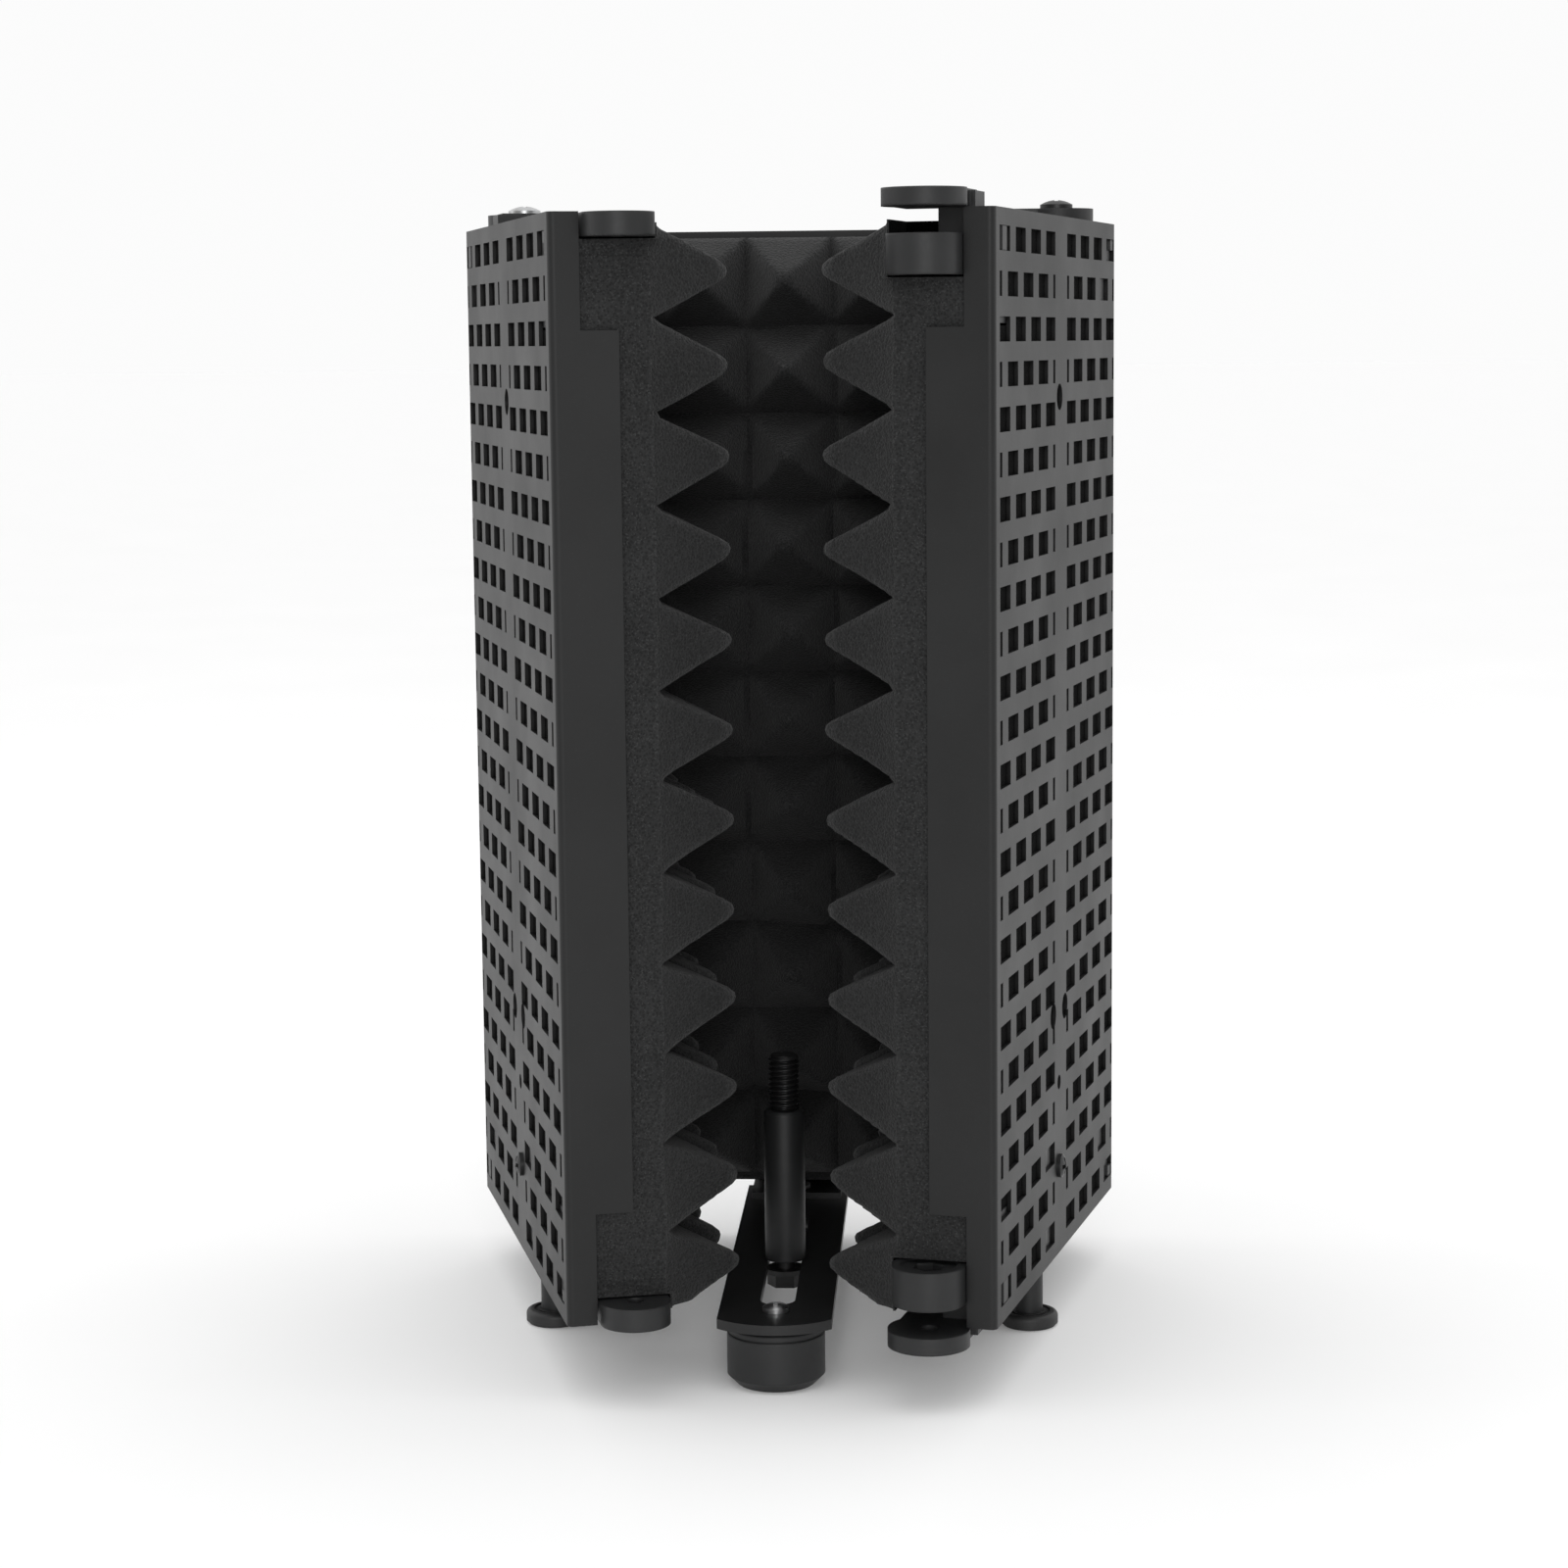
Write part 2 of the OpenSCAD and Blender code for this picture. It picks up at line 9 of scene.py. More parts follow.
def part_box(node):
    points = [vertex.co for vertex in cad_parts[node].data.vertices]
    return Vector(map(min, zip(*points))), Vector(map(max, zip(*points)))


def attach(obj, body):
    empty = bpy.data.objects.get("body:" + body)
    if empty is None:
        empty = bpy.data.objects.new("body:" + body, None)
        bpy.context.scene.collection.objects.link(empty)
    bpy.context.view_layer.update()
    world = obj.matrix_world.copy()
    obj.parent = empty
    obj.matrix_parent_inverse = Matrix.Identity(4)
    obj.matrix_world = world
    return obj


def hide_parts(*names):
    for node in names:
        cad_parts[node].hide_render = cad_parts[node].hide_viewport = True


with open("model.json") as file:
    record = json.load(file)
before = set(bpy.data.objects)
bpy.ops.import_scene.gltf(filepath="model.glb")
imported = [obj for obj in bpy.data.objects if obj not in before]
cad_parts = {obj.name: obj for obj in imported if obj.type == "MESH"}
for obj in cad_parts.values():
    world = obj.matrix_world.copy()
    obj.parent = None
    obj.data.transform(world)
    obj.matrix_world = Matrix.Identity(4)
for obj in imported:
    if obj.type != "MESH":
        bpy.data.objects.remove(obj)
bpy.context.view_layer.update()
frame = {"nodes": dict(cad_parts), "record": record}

# Without a seed, Blender shifts noise_vector by the clock and the foam differs from run to run
NOISE_SEED = 1
noise.seed_set(NOISE_SEED)

MM = 0.001
JOINTS = {j["name"]: j for j in frame["record"]["behaviour"]["joints"]}
HINGE_L = JOINTS["left_wing_hinge"]
HINGE_R = JOINTS["right_wing_hinge"]
AXIS_X = HINGE_R["pos_m"][0] / MM
REACH = HINGE_R["pos_m"][1] / MM
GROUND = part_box("centre_shell")[0][2] / MM
PANEL_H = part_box("centre_shell")[1][2] / MM - GROUND
FOLD_L = math.radians(HINGE_L["range_deg"][1])
FOLD_R = math.radians(HINGE_R["range_deg"][1])
BODIES = {"centre": "centre_panel", "left": "left_wing", "right": "right_wing"}


def place(which, p):
    """A point of a panel's own frame, in mm, to the shared frame, in metres."""
    x, y, z = p
    if which == "centre":
        return Vector((x, y + REACH, z + GROUND)) * MM
    side = -1 if which == "left" else 1
    fold = FOLD_L if which == "left" else -FOLD_R
    dx = x + side * AXIS_X
    c, s = math.cos(fold), math.sin(fold)
    return Vector((side * AXIS_X + dx * c - y * s, REACH + dx * s + y * c, z + GROUND)) * MM


# ---------- node helpers ----------

def new_material(name):
    mat = bpy.data.materials.new(name)
    mat.use_nodes = True
    nodes = mat.node_tree.nodes
    nodes.clear()
    out = nodes.new("ShaderNodeOutputMaterial")
    bsdf = nodes.new("ShaderNodeBsdfPrincipled")
    mat.node_tree.links.new(bsdf.outputs["BSDF"], out.inputs["Surface"])
    return mat, bsdf


def add(mat, kind, **values):
    n = mat.node_tree.nodes.new(kind)
    for k, v in values.items():
        if hasattr(n, k):
            setattr(n, k, v)
        else:
            n.inputs[k.replace("_", " ")].default_value = v
    return n


def link(mat, a, b):
    mat.node_tree.links.new(a, b)


def coords(mat, scale=(1, 1, 1)):
    tc = add(mat, "ShaderNodeTexCoord")
    mp = add(mat, "ShaderNodeMapping")
    mp.inputs["Scale"].default_value = scale
    link(mat, tc.outputs["Object"], mp.inputs["Vector"])
    return mp.outputs["Vector"]


def noise_tex(mat, vec, scale, detail=3.0, rough=0.55):
    n = add(mat, "ShaderNodeTexNoise", Scale=scale, Detail=detail, Roughness=rough)
    link(mat, vec, n.inputs["Vector"])
    return n.outputs["Fac"]


def cells(mat, vec, scale, output="Distance"):
    n = add(mat, "ShaderNodeTexVoronoi")
    n.inputs["Scale"].default_value = scale
    link(mat, vec, n.inputs["Vector"])
    return n.outputs[output]


def ramp(mat, fac, stops):
    n = add(mat, "ShaderNodeValToRGB")
    els = n.color_ramp.elements
    els[0].position, els[0].color = stops[0][0], stops[0][1]
    els[1].position, els[1].color = stops[-1][0], stops[-1][1]
    for pos, col in stops[1:-1]:
        e = els.new(pos)
        e.color = col
    link(mat, fac, n.inputs["Fac"])
    return n.outputs["Color"]


def grey(v, tint=0.0):
    return (v, v * (1 + tint * 0.5), v * (1 + tint), 1)


def mix_color(mat, fac, a, b, mode="MIX"):
    n = add(mat, "ShaderNodeMix")
    n.data_type = "RGBA"
    n.blend_type = mode
    for sock, val in ((n.inputs[0], fac), (n.inputs[6], a), (n.inputs[7], b)):
        if isinstance(val, (int, float, tuple)):
            sock.default_value = val
        else:
            link(mat, val, sock)
    return n.outputs[2]


def math_node(mat, op, a, b):
    n = add(mat, "ShaderNodeMath")
    n.operation = op
    for sock, val in zip(n.inputs, (a, b)):
        if isinstance(val, (int, float)):
            sock.default_value = val
        else:
            link(mat, val, sock)
    return n.outputs[0]


def bump(mat, bsdf, height, strength, distance, normal=None):
    n = add(mat, "ShaderNodeBump", Strength=strength, Distance=distance)
    link(mat, height, n.inputs["Height"])
    if normal is not None:
        link(mat, normal, n.inputs["Normal"])
    link(mat, n.outputs["Normal"], bsdf.inputs["Normal"])


# ---------- materials ----------

def painted_recess_shade(mat):
    """Painted shade: darkens the colour in small recesses, so that the holes look as black as in the
    photo.
    """
    ao = add(mat, "ShaderNodeAmbientOcclusion", samples=4, Distance=3 * MM)
    return ramp(mat, ao.outputs["AO"], [(0.5, grey(0.12)), (0.85, grey(1.0))])


def powder_coat(name, base, rough, gloss=0.36, tint=0.02):
    """Satin black powder coat: orange peel, faint dust, a little uneven gloss and painted shade in small
    recesses.
    """
    mat, b = new_material(name)
    v = coords(mat)
    cloud = noise_tex(mat, v, 26.0, 4.0)
    fine = noise_tex(mat, v, 1400.0, 2.0)
    speck = cells(mat, v, 900.0)
    dust = ramp(mat, speck, [(0.0, grey(1.9)), (0.09, grey(1.25)), (0.16, grey(1.0))])
    tone = ramp(mat, cloud, [(0.3, grey(base * 0.86, tint)), (0.7, grey(base * 1.14, tint))])
    tone = mix_color(mat, 1.0, tone, dust, "MULTIPLY")
    # The tone is darkened by painted shade in small recesses.
    link(mat, mix_color(mat, 1.0, tone, painted_recess_shade(mat), "MULTIPLY"), b.inputs["Base Color"])
    r = ramp(mat, cloud, [(0.25, grey(rough - 0.05)), (0.75, grey(rough + 0.06))])
    link(mat, r, b.inputs["Roughness"])
    bump(mat, b, fine, 0.22, 0.00012)
    b.inputs["Specular IOR Level"].default_value = gloss
    return mat


def moulded(name, base, rough, tint=0.06):
    """Moulded plastic: fine spark-eroded grain, broad flow marks and a few light scuffs."""
    mat, b = new_material(name)
    v = coords(mat)
    flow = noise_tex(mat, coords(mat, (1, 1, 2.5)), 55.0, 3.0)
    grain = noise_tex(mat, v, 2600.0, 2.0, 0.6)
    scuff = noise_tex(mat, coords(mat, (1, 7, 1)), 420.0, 4.0, 0.7)
    tone = ramp(mat, flow, [(0.3, grey(base * 0.88, tint)), (0.7, grey(base * 1.15, tint))])
    marks = ramp(mat, scuff, [(0.66, grey(1.0)), (0.78, grey(1.7))])
    link(mat, mix_color(mat, 1.0, tone, marks, "MULTIPLY"), b.inputs["Base Color"])
    r = ramp(mat, scuff, [(0.35, grey(rough)), (0.8, grey(rough + 0.12))])
    link(mat, r, b.inputs["Roughness"])
    round_edge = add(mat, "ShaderNodeBevel", samples=4, Radius=0.9 * MM)
    bump(mat, b, grain, 0.25, 0.00006, round_edge.outputs["Normal"])
    b.inputs["Specular IOR Level"].default_value = 0.4
    return mat


def rubber_mat(name):
    """Black rubber with a little dust in its grain."""
    mat, b = new_material(name)
    v = coords(mat)
    dust = noise_tex(mat, v, 160.0, 5.0, 0.7)
    grain = noise_tex(mat, v, 1800.0, 3.0)
    tone = ramp(mat, dust, [(0.4, grey(0.011, 0.02)), (0.75, grey(0.023, 0.0))])
    link(mat, tone, b.inputs["Base Color"])
    r = ramp(mat, dust, [(0.3, grey(0.42)), (0.8, grey(0.66))])
    link(mat, r, b.inputs["Roughness"])
    bump(mat, b, grain, 0.3, 0.0001)
    return mat


def plated(name, base, rough, metallic=1.0):
    """Plated steel: turned rings blurred by the plating, with faint stains."""
    mat, b = new_material(name)
    v = coords(mat)
    rings = noise_tex(mat, coords(mat, (0.35, 0.35, 3.0)), 1800.0, 2.0, 0.7)
    stain = noise_tex(mat, v, 240.0, 4.0)
    tone = ramp(mat, stain, [(0.3, grey(base * 0.82, -0.02)), (0.65, grey(base, 0.03))])
    link(mat, tone, b.inputs["Base Color"])
    b.inputs["Metallic"].default_value = metallic
    r = ramp(mat, stain, [(0.3, grey(rough + 0.1)), (0.7, grey(rough - 0.04))])
    link(mat, r, b.inputs["Roughness"])
    bump(mat, b, rings, 0.18, 0.00006)
    return mat


def foam_mat(name, level):
    """Open-cell foam: dark struts round tiny pores, with scattered cell walls that catch the light, and
    painted highlights along convex edges.
    """
    mat, b = new_material(name)
    v = coords(mat)
    pores = cells(mat, v, 1150.0)
    pores2 = cells(mat, v, 2300.0)
    glint = cells(mat, v, 2600.0, "Color")
    split = add(mat, "ShaderNodeSeparateColor")
    link(mat, glint, split.inputs["Color"])
    patch = noise_tex(mat, v, 48.0, 3.0)
    pit = (0.0, grey(0.0045 * level))
    strut = (0.32, grey(0.0098 * level, 0.02))
    wall = (0.62, grey(0.0158 * level, 0.02))
    tone = ramp(mat, pores, [pit, strut, wall])
    uneven = ramp(mat, patch, [(0.25, grey(0.84)), (0.75, grey(1.16))])
    tone = mix_color(mat, 1.0, tone, uneven, "MULTIPLY")
    lit = math_node(mat, "GREATER_THAN", split.outputs["Red"], 0.90)
    tone = mix_color(mat, lit, tone, grey(0.025 * level, 0.02))
    # Painted highlight: the colour lightens along convex edges and ridges, where the rims catch the
    # light.
    shape = add(mat, "ShaderNodeNewGeometry")
    edge = ramp(mat, shape.outputs["Pointiness"], [(0.515, grey(1.0)), (0.58, grey(1.7))])
    tone = mix_color(mat, 1.0, tone, edge, "MULTIPLY")
    link(mat, tone, b.inputs["Base Color"])
    b.inputs["Roughness"].default_value = 0.95
    b.inputs["Specular IOR Level"].default_value = 0.15 * level
    b.inputs["Sheen Weight"].default_value = 0.10 * level
    b.inputs["Sheen Roughness"].default_value = 0.6
    mixed = math_node(mat, "ADD", pores, math_node(mat, "MULTIPLY", pores2, 0.5))
    bump(mat, b, mixed, 0.6, 0.0004)
    return mat


def floor_mat(name):
    """Pale studio floor, with a faint glow that hides its far edge against the backdrop."""
    mat, b = new_material(name)
    v = coords(mat)
    tone = ramp(mat, noise_tex(mat, v, 6.0, 3.0), [(0.3, grey(0.90)), (0.7, grey(0.92))])
    link(mat, tone, b.inputs["Base Color"])
    b.inputs["Roughness"].default_value = 0.9
    b.inputs["Specular IOR Level"].default_value = 0.1
    b.inputs["Emission Color"].default_value = (1, 1, 1, 1)
    b.inputs["Emission Strength"].default_value = 0.095
    return mat


COAT = powder_coat("perforated_coat", 0.0150, 0.46, 0.23)
BAR_COAT = powder_coat("bar_coat", 0.012, 0.36)
PLASTIC = moulded("lug_plastic", 0.0135, 0.44)
POST_PLASTIC = moulded("post_plastic", 0.013, 0.42)
RUBBER = rubber_mat("foot_rubber")
ZINC = plated("zinc_plate", 0.52, 0.30)
OXIDE = plated("black_oxide", 0.032, 0.36, 0.7)
FOAM = foam_mat("charcoal_foam", 1.0)
# A much darker copy of the foam for its back faces: painted shade, so that the holes in the sheet look
# black.
FOAM_PAINTED_SHADE = foam_mat("charcoal_foam_painted_shade", 0.12)


def paint(material, *nodes):
    for n in nodes:
        ob = frame["nodes"][n]
        ob.data.materials.clear()
        ob.data.materials.append(material)


def ease(width, *nodes):
    """Softens the moulded or machined edges of CAD nodes."""
    for n in nodes:
        ob = frame["nodes"][n]
        mod = ob.modifiers.new("edge", "BEVEL")
        mod.width = width * MM
        mod.segments = 3
        mod.limit_method = "ANGLE"
        mod.angle_limit = math.radians(40)
        mod.harden_normals = False
        mod.use_clamp_overlap = True


PANELS = ("centre", "left", "right")
LUGS = [f"{w}_{e}_{k}" for w in PANELS for e in ("top", "bottom") for k in ("tongue", "fork")]
paint(COAT, *[w + "_shell" for w in PANELS])
paint(PLASTIC, *LUGS)
paint(PLASTIC, *[w + "_foot_leg" for w in PANELS], "adapter_collar", "stand_adapter")
paint(POST_PLASTIC, "mic_post")
paint(RUBBER, *[w + "_foot_pad" for w in PANELS])
paint(BAR_COAT, "slotted_bar", "mount_bracket", "left_foot_bracket", "right_foot_bracket")
paint(ZINC, "left_hinge_screws", "left_hinge_nuts", "right_hinge_nuts", "bar_screw", "bar_nut",
      "adapter_screw")
paint(OXIDE, "right_hinge_screws", *[w + "_bracket_screw" for w in PANELS], "mic_stud",
      "post_washer", "post_bolt")
ease(1.1, *LUGS)
ease(0.25, "slotted_bar", "adapter_collar")


# ---------- foam ----------

# All in mm in a panel's own frame: u across, v in depth with the front negative, w up
FOAM_HALF = 84.5
FOAM_BACK = 18.5
VALLEY = -10.0
COLUMN = 28.0
# Rounding of the front edge, and the band behind it
EDGE_ROUND = 1.2
RIM = 1.3
RIM_STEPS = (0.2, 0.45, 0.8)
# Bevel beside a hinge
BEVEL_START = 0.9
BEVEL_SLOPE = math.tan(math.radians(36.8))
# Least thickness of the foam
FOAM_MIN = 0.6
# A ridge is straight up to CREST of the way, then rounds over
CREST = 0.78
CREST_SLOPE = 1.125
# Where two ridges meet, the fold is rounded over this share of their height
FOLD_BLEND = 0.07
# Unevenness: size of the broad waves and of the fine ones, and how far each moves the surface
WAVE, RIPPLE = 23.0, 9.0
WAVE_U, WAVE_W, RIPPLE_V = 1.5, 1.3, 0.3
# The waves fade out towards the sides and towards the ends
FADE_U, FADE_W = 8.0, 6.0

# Room behind the foam for the lugs: distance from the middle, from the panel's end, and depth
LUG_U, CHEEK_U, HOOK_U = 64.6, 73.1, 74.9
PLATE_END, NECK_END, CHEEK_END, HOOK_END = 7.55, 12.4, 19.2, 32.6
PLATE_V, NECK_V, CHEEK_V, HOOK_V = -10.85, 15.0, -11.3, 2.6
# Room for the foot's bracket, its toe and the head of its screw
BRACKET_U, BRACKET_TOP, BRACKET_V = 16.0, 41.0, 14.0
TOE_TOP, TOE_V = 7.0, 1.9
HEAD_R, HEAD_W, HEAD_V = 5.5, 28.0, 10.5
# Grid: spacing across and up, half the gap of a pair of lines at a cut, and the room kept there
STEP_U, STEP_W = 1.5, 1.4
CUT_HALF, CUT_CLEAR = 0.12, 0.45

# Rows and their spacing, shift of the columns, hollow of the slopes, depth of the tips, sides
# bevelled for a hinge, sides with room for a fork's cheek, and seed of the unevenness
SHEETS = {
    "centre": dict(rows=11, pitch=28.3, shift=0.0, dish=1.0, tip=-34.0,
                   hinged=(-1, 1), cheek=(True, True), seed=3.0),
    "left": dict(rows=12, pitch=26.5, shift=14.0, dish=1.25, tip=-35.3,
                 hinged=(1,), cheek=(False, True), seed=11.0),
    "right": dict(rows=12, pitch=26.5, shift=14.0, dish=1.25, tip=-35.3,
                  hinged=(-1,), cheek=(True, True), seed=19.0),
}


def lines(edges, step, cuts):
    """Grid lines from edges[0] to edges[-1] through every edge, with a close pair at each cut."""
    out = set()
    for a, b in zip(edges, edges[1:]):
        n = max(1, round((b - a) / step))
        for i in range(n + 1):
            out.add(round(a + (b - a) * i / n, 4))
    for c in cuts:
        out = {v for v in out if abs(v - c) > CUT_CLEAR or v in (edges[0], edges[-1])}
    for c in cuts:
        out.add(round(c - CUT_HALF, 4))
        out.add(round(c + CUT_HALF, 4))
    return sorted(out)


def profile(s):
    """Height of a ridge from its valley, 0, to its crest, 1, with a rounded crest."""
    s = max(0.0, min(1.0, s))
    if s < CREST:
        return s * CREST_SLOPE
    t = (s - CREST) / (1 - CREST)
    return CREST * CREST_SLOPE + (1 - CREST * CREST_SLOPE) * (1 - (1 - t) ** 2)


def front(sheet, u, w, z0, z1):
    """Depth of the foam's front surface at one point of the panel."""
    seed, tip = sheet["seed"], sheet["tip"]
    wave = noise.noise_vector(Vector((u / WAVE, w / WAVE, seed)))
    ripple = noise.noise(Vector((u / RIPPLE, w / RIPPLE, seed + 7.0)))
    fade_u = min(1.0, (FOAM_HALF - abs(u)) / FADE_U)
    fade_w = min(1.0, max(0.0, min(z1 - w, w - z0) / FADE_W))
    uu = u - sheet["shift"] + WAVE_U * wave.x * fade_u
    ww = w + WAVE_W * wave.y * fade_w
    su = 1 - abs(((uu / COLUMN + 0.5) % 1.0) * 2 - 1)
    row = (z1 - ww) / sheet["pitch"]
    if 0 <= row <= sheet["rows"]:
        sw = 1 - abs((row % 1.0) * 2 - 1)
    else:
        sw = 0.0
    across, along = profile(su ** sheet["dish"]), profile(sw)
    height = min(across, along)
    gap = abs(across - along)
    if gap < FOLD_BLEND:
        height -= (FOLD_BLEND - gap) ** 2 / (4 * FOLD_BLEND)
    height = max(0.0, height)
    valley = VALLEY + wave.z
    v = valley - (valley - tip) * height * (1 - 0.04 * abs(wave.z))
    v -= RIPPLE_V * ripple * min(1.0, height * 3)
    for side in sheet["hinged"]:
        v = max(v, -BEVEL_START - (FOAM_HALF - side * u) * BEVEL_SLOPE)
    near = 1 - min(1.0, (FOAM_HALF - abs(u)) / EDGE_ROUND)
    return max(v, tip - 0.2) + 0.7 * near * near


def back(sheet, u, w):
    """Depth of the foam's back, cut away for the lugs and for the foot's bracket."""
    end = min(w, PANEL_H - w)
    a = abs(u)
    v = FOAM_BACK
    if a > LUG_U and end < PLATE_END:
        v = PLATE_V
    elif a > CHEEK_U and end < CHEEK_END and sheet["cheek"][0 if u < 0 else 1]:
        v = CHEEK_V
    elif LUG_U < a < HOOK_U and end < HOOK_END:
        v = HOOK_V
    elif a > LUG_U and end < NECK_END:
        v = NECK_V
    if a < BRACKET_U and w < BRACKET_TOP:
        v = min(v, BRACKET_V)
    if a < BRACKET_U and w < TOE_TOP:
        v = min(v, TOE_V)
    if a < HEAD_R and abs(w - HEAD_W) < HEAD_R:
        v = min(v, HEAD_V)
    return v


def depths(sheet, u, w, z0, z1):
    """Front and back of the foam at one point."""
    b = back(sheet, u, w)
    return min(front(sheet, u, w, z0, z1), b - FOAM_MIN), b


def foam_grid(sheet, z0, z1):
    """Lines across and up the sheet, through every crest, valley and cut."""
    inner = FOAM_HALF - EDGE_ROUND
    crests = [i * COLUMN / 2 for i in range(-5, 6)]
    us = lines([-FOAM_HALF, -inner] + crests + [inner, FOAM_HALF], STEP_U,
               [s * c for s in (-1, 1) for c in (LUG_U, CHEEK_U, HOOK_U, BRACKET_U, HEAD_R)])
    us = sorted(set(us + [s * (FOAM_HALF - d) for s in (-1, 1) for d in RIM_STEPS]))
    folds = [z1 - i * 0.5 * sheet["pitch"] for i in range(2 * sheet["rows"] + 1)]
    ends = (HOOK_END, CHEEK_END, NECK_END, PLATE_END)
    ws = lines(sorted([z0, z1] + [f for f in folds if z0 + 1 < f < z1 - 1]), STEP_W,
               [*ends, BRACKET_TOP, TOE_TOP, HEAD_W - HEAD_R, HEAD_W + HEAD_R]
               + [PANEL_H - e for e in ends])
    return us, ws


def foam_faces(nu, nw):
    """Faces of the closed sheet, and the numbers of those on its back, which take the painted shade."""
    half = nu * nw
    rim = 2 * half
    faces, painted_shade_faces = [], []

    def at(layer, i, j):
        return layer * half + j * nu + i

    for j in range(nw - 1):
        for i in range(nu - 1):
            faces.append((at(0, i, j), at(0, i + 1, j), at(0, i + 1, j + 1), at(0, i, j + 1)))
            faces.append((at(1, i, j), at(1, i, j + 1), at(1, i + 1, j + 1), at(1, i + 1, j)))
            painted_shade_faces.append(len(faces) - 1)
    for i in range(nu - 1):
        for j, flip in ((0, False), (nw - 1, True)):
            wall = [at(0, i, j), at(1, i, j), at(1, i + 1, j), at(0, i + 1, j)]
            if i == 0:
                wall.insert(1, rim + j)
            if i == nu - 2:
                wall.insert(-1, rim + nw + j)
            faces.append(tuple(reversed(wall)) if flip else tuple(wall))
    for j in range(nw - 1):
        a, b = rim + j, rim + j + 1
        faces.append((at(0, 0, j), at(0, 0, j + 1), b, a))
        faces.append((a, b, at(1, 0, j + 1), at(1, 0, j)))
        a, b = rim + nw + j, rim + nw + j + 1
        faces.append((at(0, nu - 1, j), a, b, at(0, nu - 1, j + 1)))
        faces.append((a, at(1, nu - 1, j), at(1, nu - 1, j + 1), b))
    return faces, painted_shade_faces


def new_piece(name, verts, faces, materials, sharp):
    """An object from a mesh, smooth except at edges sharper than an angle in degrees."""
    me = bpy.data.meshes.new(name)
    me.from_pydata(verts, [], faces)
    for material in materials:
        me.materials.append(material)
    me.shade_smooth()
    me.set_sharp_from_angle(angle=math.radians(sharp))
    ob = bpy.data.objects.new(name, me)
    bpy.context.scene.collection.objects.link(ob)
    return ob


def make_foam(which, sheet):
    """One panel's foam: a front and a back layer of points, and a band of points at each side."""
    lo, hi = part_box(which + "_foam")
    z0, z1 = lo[2] / MM - GROUND + 0.05, hi[2] / MM - GROUND - 0.05
    us, ws = foam_grid(sheet, z0, z1)
    grid = [(u, w, depths(sheet, u, w, z0, z1)) for w in ws for u in us]
    verts = [place(which, (u, d[layer], w)) for layer in (0, 1) for u, w, d in grid]
    for u in (us[0], us[-1]):
        for w in ws:
            v, b = depths(sheet, u, w, z0, z1)
            verts.append(place(which, (u, v + min(RIM, (b - v) / 2), w)))
    faces, painted_shade_faces = foam_faces(len(us), len(ws))
    ob = new_piece(which + "_foam_sheet", verts, faces, (FOAM, FOAM_PAINTED_SHADE), 50)
    # The back faces take the darker copy of the foam: painted shade.
    for f in painted_shade_faces:
        ob.data.polygons[f].material_index = 1
    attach(ob, BODIES[which])
    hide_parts(which + "_foam")


for panel, foam_sheet in SHEETS.items():
    make_foam(panel, foam_sheet)


# ---------- microphone stud ----------

THREAD_PITCH = 25.4 / 16
THREAD_DEPTH = 0.95
SHANK_R = 2.98
SECTORS = 48
STEPS_PER_TURN = 10


def stud_radius(z, sector, top, major):
    """Radius of the stud at a height above the post, in mm."""
    if z < 0:
        return SHANK_R
    t = (z / THREAD_PITCH - sector / SECTORS) % 1.0
    # Flanks between a flat root and a flat crest
    ridge = min(1.0, max(0.0, 1.5 * (1 - abs(2 * t - 1)) - 0.2))
    run_in = major - THREAD_DEPTH + 0.9 * max(0.0, z)
    chamfer = major - 1.0 + (top - z)
    return min(major - THREAD_DEPTH * (1 - ridge), run_in, chamfer)


def make_stud():
    """A coarse stand thread on the stud, with a chamfered end and a plain shank below."""
    lo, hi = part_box("mic_stud")
    cx, cy = (lo[0] + hi[0]) / 2, (lo[1] + hi[1]) / 2
    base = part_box("mic_post")[1][2]
    top = hi[2] / MM - base / MM
    major = (hi[0] - lo[0]) / 2 / MM
    n = round(top / (THREAD_PITCH / STEPS_PER_TURN))
    levels = [(lo[2] - base) / MM, -0.02] + [top * i / n for i in range(n + 1)]
    verts, faces = [], []
    for z in levels:
        for i in range(SECTORS):
            r = stud_radius(z, i, top, major)
            a = 2 * math.pi * i / SECTORS
            verts.append((cx + r * MM * math.cos(a), cy + r * MM * math.sin(a), base + z * MM))
    rings = len(levels)
    for k in range(rings - 1):
        for i in range(SECTORS):
            j = (i + 1) % SECTORS
            low, high = k * SECTORS, (k + 1) * SECTORS
            faces.append((low + i, low + j, high + j, high + i))
    faces.append(tuple(reversed(range(SECTORS))))
    faces.append(tuple((rings - 1) * SECTORS + i for i in range(SECTORS)))
    ob = new_piece("threaded_stud", verts, faces, (OXIDE,), 35)
    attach(ob, "mic_post_group")
    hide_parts("mic_stud")


make_stud()


# ---------- stage ----------

# A square just under the feet, wide enough to reach the horizon in every view
FLOOR_HALF = 40
FLOOR_Z = -0.0001
bm = bmesh.new()
for x, y in ((-1, -1), (1, -1), (1, 1), (-1, 1)):
    bm.verts.new((x * FLOOR_HALF, y * FLOOR_HALF, FLOOR_Z))
bm.faces.new(bm.verts)
floor_mesh = bpy.data.meshes.new("floor")
bm.to_mesh(floor_mesh)
bm.free()
floor = bpy.data.objects.new("floor", floor_mesh)
floor.data.materials.append(floor_mat("pale_floor"))
bpy.context.scene.collection.objects.link(floor)

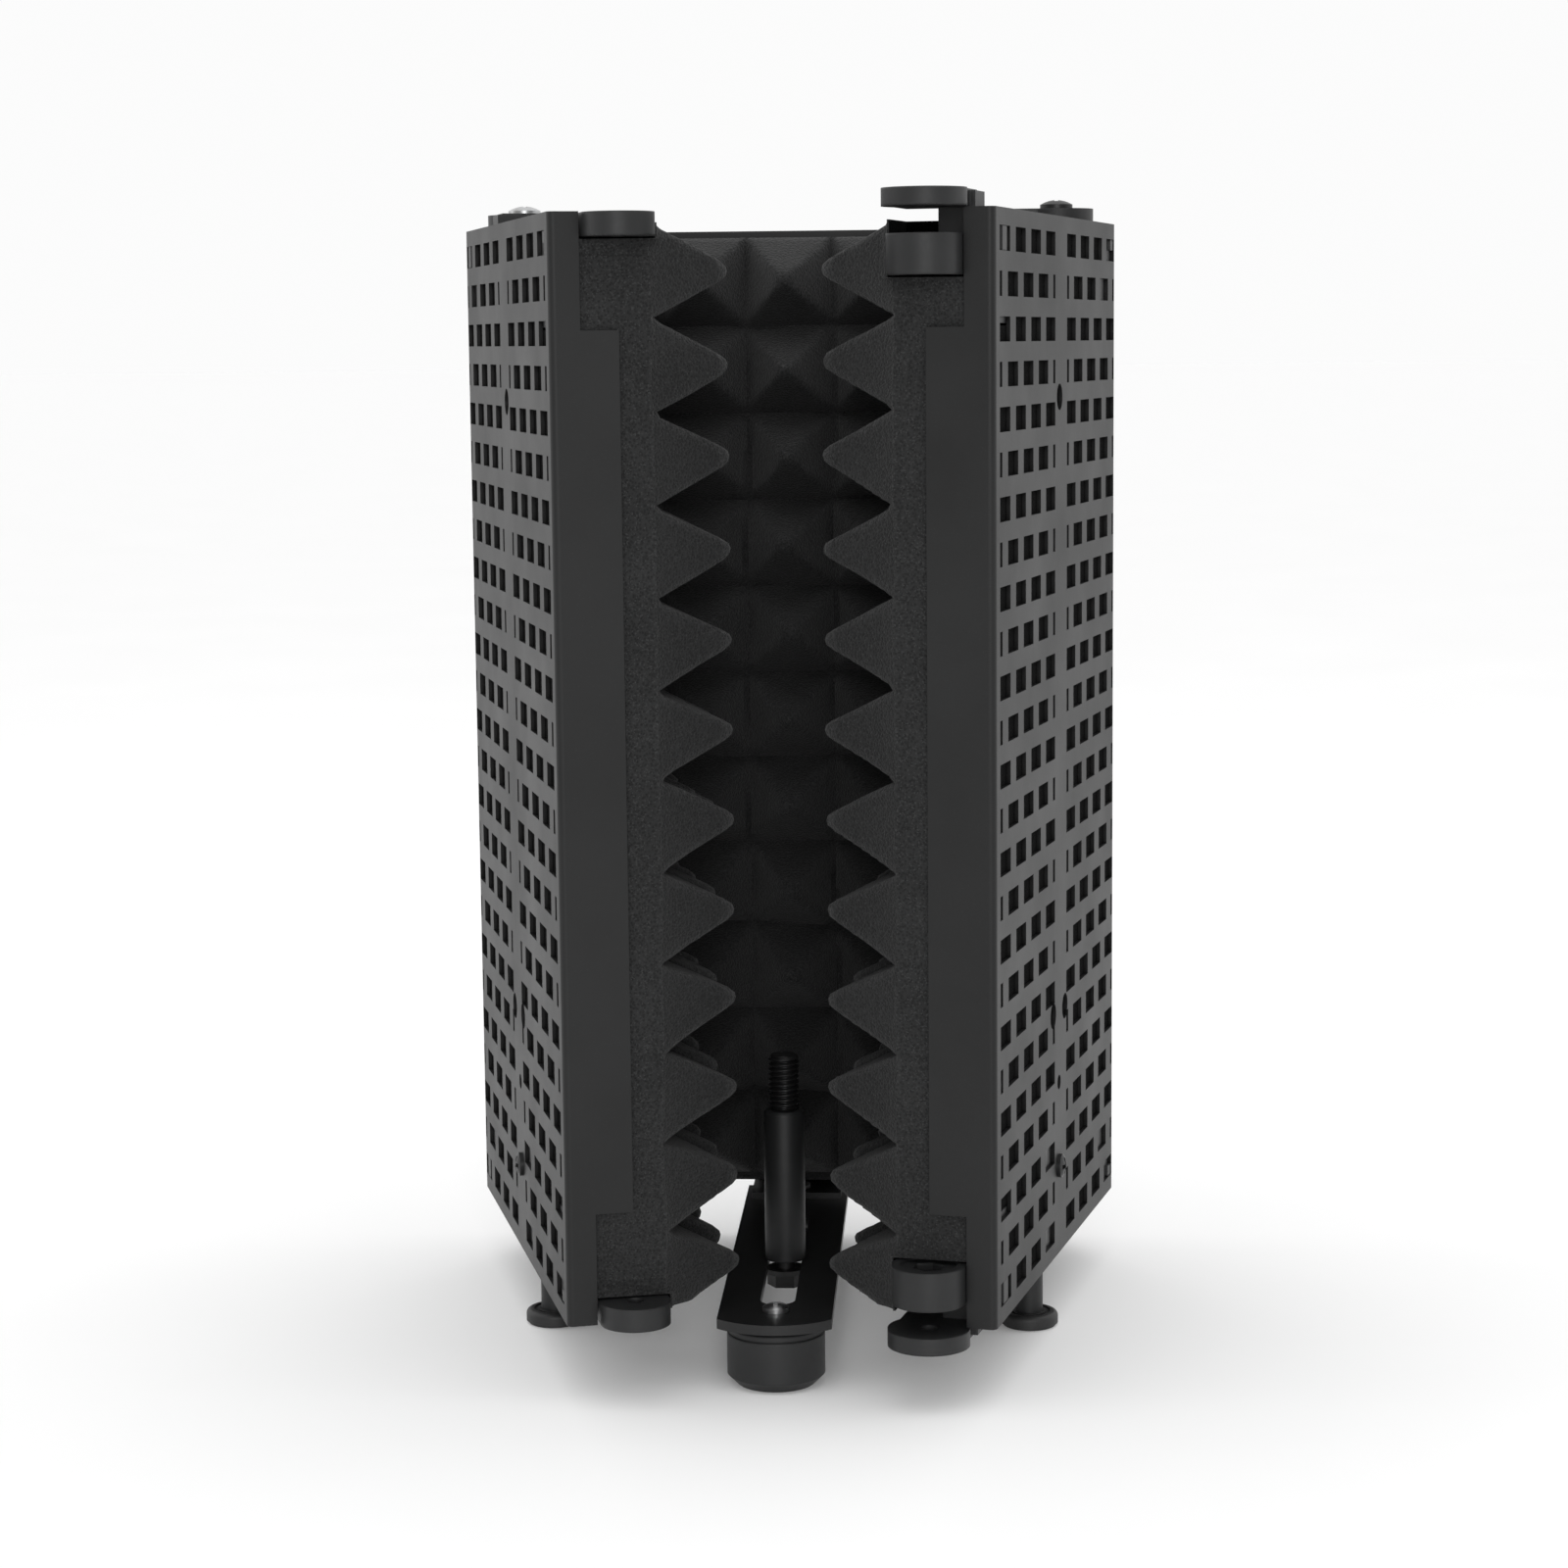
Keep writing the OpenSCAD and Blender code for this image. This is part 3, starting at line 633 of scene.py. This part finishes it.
world = bpy.data.worlds.new("studio")
bpy.context.scene.world = world
world.use_nodes = True
wt = world.node_tree
sky = wt.nodes["Background"]
direction = wt.nodes.new("ShaderNodeTexCoord")
parts = wt.nodes.new("ShaderNodeSeparateXYZ")
wt.links.new(direction.outputs["Generated"], parts.inputs["Vector"])


def sky_ramp(axis, low, high, dark, light):
    """World brightness between two heights of one axis of the view direction."""
    n = wt.nodes.new("ShaderNodeMapRange")
    n.interpolation_type = "SMOOTHSTEP"
    n.inputs["From Min"].default_value = low
    n.inputs["From Max"].default_value = high
    n.inputs["To Min"].default_value = dark
    n.inputs["To Max"].default_value = light
    wt.links.new(parts.outputs[axis], n.inputs["Value"])
    return n.outputs["Result"]


around = sky_ramp("Y", -0.6, 0.5, 0.33, 0.97)
above = sky_ramp("Z", 0.2, 0.85, 0.0, 1.0)
sky_mix = wt.nodes.new("ShaderNodeMix")
wt.links.new(above, sky_mix.inputs[0])
wt.links.new(around, sky_mix.inputs[2])
sky_mix.inputs[3].default_value = 1.0
wt.links.new(sky_mix.outputs[0], sky.inputs["Color"])
sky.inputs["Strength"].default_value = 1.0


AIM = Vector((0, 0.06, 0.2))


def softbox(name, pos, size, power):
    data = bpy.data.lights.new(name, "AREA")
    data.shape = "RECTANGLE"
    data.size, data.size_y = size
    data.energy = power
    ob = bpy.data.objects.new(name, data)
    ob.location = pos
    ob.rotation_euler = (AIM - Vector(pos)).to_track_quat("-Z", "Y").to_euler()
    bpy.context.scene.collection.objects.link(ob)


softbox("top_box", (0.1, -0.1, 1.5), (1.6, 1.2), 3.5)
softbox("left_box", (-1.5, 0.1, 0.7), (0.9, 1.2), 2.4)
softbox("right_box", (1.5, 0.1, 0.7), (0.9, 1.2), 1.4)

# A wide, weak sun from in front, which reaches the foam between the wings
fill = bpy.data.lights.new("front_fill", "SUN")
fill.energy = 0.85
fill.angle = math.radians(24)
fill_ob = bpy.data.objects.new("front_fill", fill)
fill_ob.rotation_euler = Vector((-0.08, 1.0, -0.22)).to_track_quat("-Z", "Y").to_euler()
bpy.context.scene.collection.objects.link(fill_ob)


# ---------- camera ----------

# Fitted to the photograph
CAMERA_POS = (0.0541, -0.9655, 0.3069)
YAW, PITCH_DOWN, ROLL = (math.radians(a) for a in (2.97, 7.52, 0.57))
turn = Matrix.Rotation(YAW, 3, "Z") @ Matrix.Rotation(-PITCH_DOWN, 3, "X") @ Matrix.Rotation(ROLL, 3, "Y")
right, forward, up = turn.col[0], turn.col[1], turn.col[2]
cam = bpy.data.cameras.new("camera")
cam.sensor_width = 36
cam.lens = 76.95
cam.clip_start = 0.02
cam.clip_end = 120
cam_ob = bpy.data.objects.new("camera", cam)
cam_ob.matrix_world = Matrix((
    (right.x, up.x, -forward.x, CAMERA_POS[0]),
    (right.y, up.y, -forward.y, CAMERA_POS[1]),
    (right.z, up.z, -forward.z, CAMERA_POS[2]),
    (0, 0, 0, 1)))
bpy.context.scene.collection.objects.link(cam_ob)
bpy.context.scene.camera = cam_ob

bpy.context.scene.view_settings.view_transform = "Standard"
